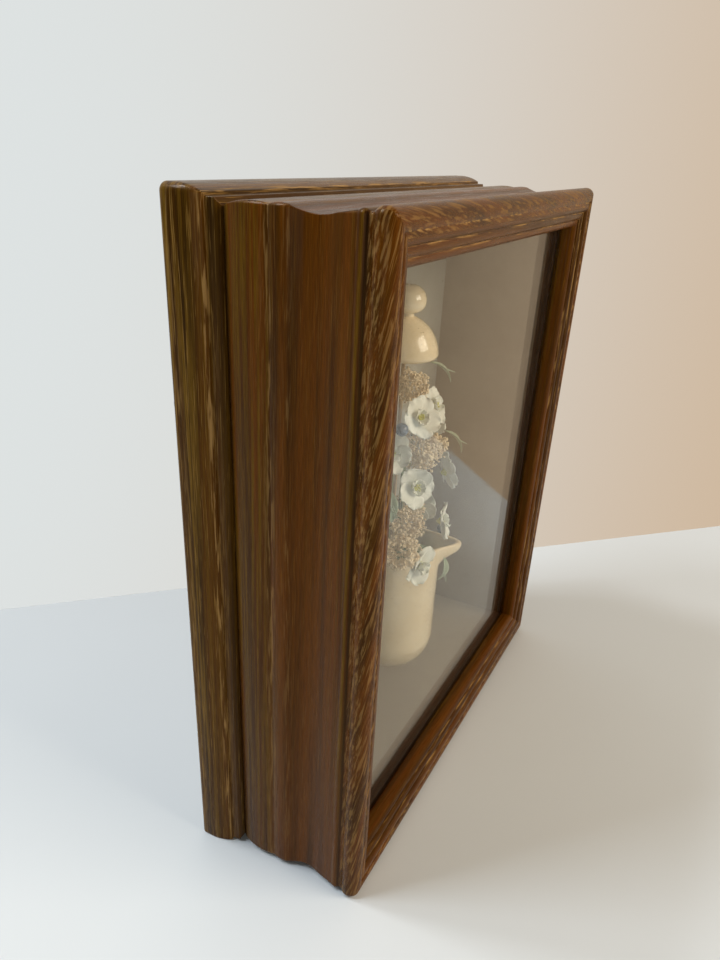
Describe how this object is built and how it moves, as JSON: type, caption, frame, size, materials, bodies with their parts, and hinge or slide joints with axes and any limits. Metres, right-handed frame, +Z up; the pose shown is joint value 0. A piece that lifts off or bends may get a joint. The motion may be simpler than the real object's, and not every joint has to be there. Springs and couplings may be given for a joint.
{
  "type": "shadow box",
  "caption": "Deep glazed wooden shadow box with a lined back, holding a small ceramic pitcher with silk and dried flowers.",
  "frame": {"origin": "middle of the base that the case stands on, half way between the front bead and the rearmost screw heads", "axes": "+X to the right as seen from the front, +Y from the glass towards the wall, +Z up"},
  "size_m": [0.252, 0.0841, 0.282],
  "materials": {
    "walnut_moulding": "dark walnut stain under gloss lacquer",
    "walnut_back_moulding": "coarser grained, dark walnut stain under gloss lacquer",
    "glass": "clear picture glass",
    "dark_spacer": "matt black strip",
    "grey_mat_board": "matt warm grey mat board",
    "hardboard": "smooth brown hardboard",
    "zinc_plate": "zinc plated",
    "brass_plate": "brass plated steel strip",
    "cream_glaze": "glossy cream glaze with fine specks",
    "set_glue": "set glue",
    "raw_wood": "bare skewer",
    "floral_foam": "dry floral foam",
    "wrapped_wire": "paper wrapped wire",
    "silk_leaf": "pale grey green silk",
    "berry": "blue grey berry",
    "white_silk": "ivory white silk",
    "dried_flower": "dried beige florets"
  },
  "bodies": {
    "case": {"front_rail_left": "walnut_moulding", "front_rail_right": "walnut_moulding", "front_rail_top": "walnut_moulding", "front_rail_bottom": "walnut_moulding", "rear_rail_left": "walnut_back_moulding", "rear_rail_right": "walnut_back_moulding", "rear_rail_top": "walnut_back_moulding", "rear_rail_bottom": "walnut_back_moulding", "glass_pane": "glass", "spacer_left": "dark_spacer", "spacer_right": "dark_spacer", "spacer_top": "dark_spacer", "spacer_bottom": "dark_spacer", "liner_left": "grey_mat_board", "liner_right": "grey_mat_board", "liner_top": "grey_mat_board", "liner_bottom": "grey_mat_board", "back_lining": "grey_mat_board", "back_board": "hardboard", "pivot_screws": "zinc_plate", "sawtooth_hanger": "brass_plate", "hanger_nails": "zinc_plate", "pot": "cream_glaze", "pot_glue_pad": "set_glue", "pot_lid": "cream_glaze", "lid_stem": "raw_wood", "floral_foam": "floral_foam", "flower_stems": "wrapped_wire", "silk_leaves": "silk_leaf", "blue_berries": "berry", "blossom_1": "white_silk", "blossom_2": "white_silk", "blossom_3": "white_silk", "blossom_4": "white_silk", "blossom_5": "white_silk", "blossom_6": "white_silk", "blossom_7": "white_silk", "blossom_8": "white_silk", "blossom_9": "white_silk", "blossom_10": "white_silk", "babys_breath_1": "dried_flower", "babys_breath_2": "dried_flower", "babys_breath_3": "dried_flower", "babys_breath_4": "dried_flower", "babys_breath_5": "dried_flower", "babys_breath_6": "dried_flower", "babys_breath_7": "dried_flower", "babys_breath_8": "dried_flower"},
    "turn_button_left_low": {"turn_button_left_low": "zinc_plate"},
    "turn_button_left_high": {"turn_button_left_high": "zinc_plate"},
    "turn_button_right_low": {"turn_button_right_low": "zinc_plate"},
    "turn_button_right_high": {"turn_button_right_high": "zinc_plate"}
  },
  "joints": [
    {"name": "turn_button_left_low_pivot", "type": "hinge", "parent": "case", "child": "turn_button_left_low", "pos_m": [-0.1194, 0.04025, 0.07], "axis": [0, 1, 0], "continuous": true},
    {"name": "turn_button_left_high_pivot", "type": "hinge", "parent": "case", "child": "turn_button_left_high", "pos_m": [-0.1194, 0.04025, 0.21], "axis": [0, 1, 0], "continuous": true},
    {"name": "turn_button_right_low_pivot", "type": "hinge", "parent": "case", "child": "turn_button_right_low", "pos_m": [0.1194, 0.04025, 0.07], "axis": [0, 1, 0], "continuous": true},
    {"name": "turn_button_right_high_pivot", "type": "hinge", "parent": "case", "child": "turn_button_right_high", "pos_m": [0.1194, 0.04025, 0.21], "axis": [0, 1, 0], "continuous": true}
  ]
}
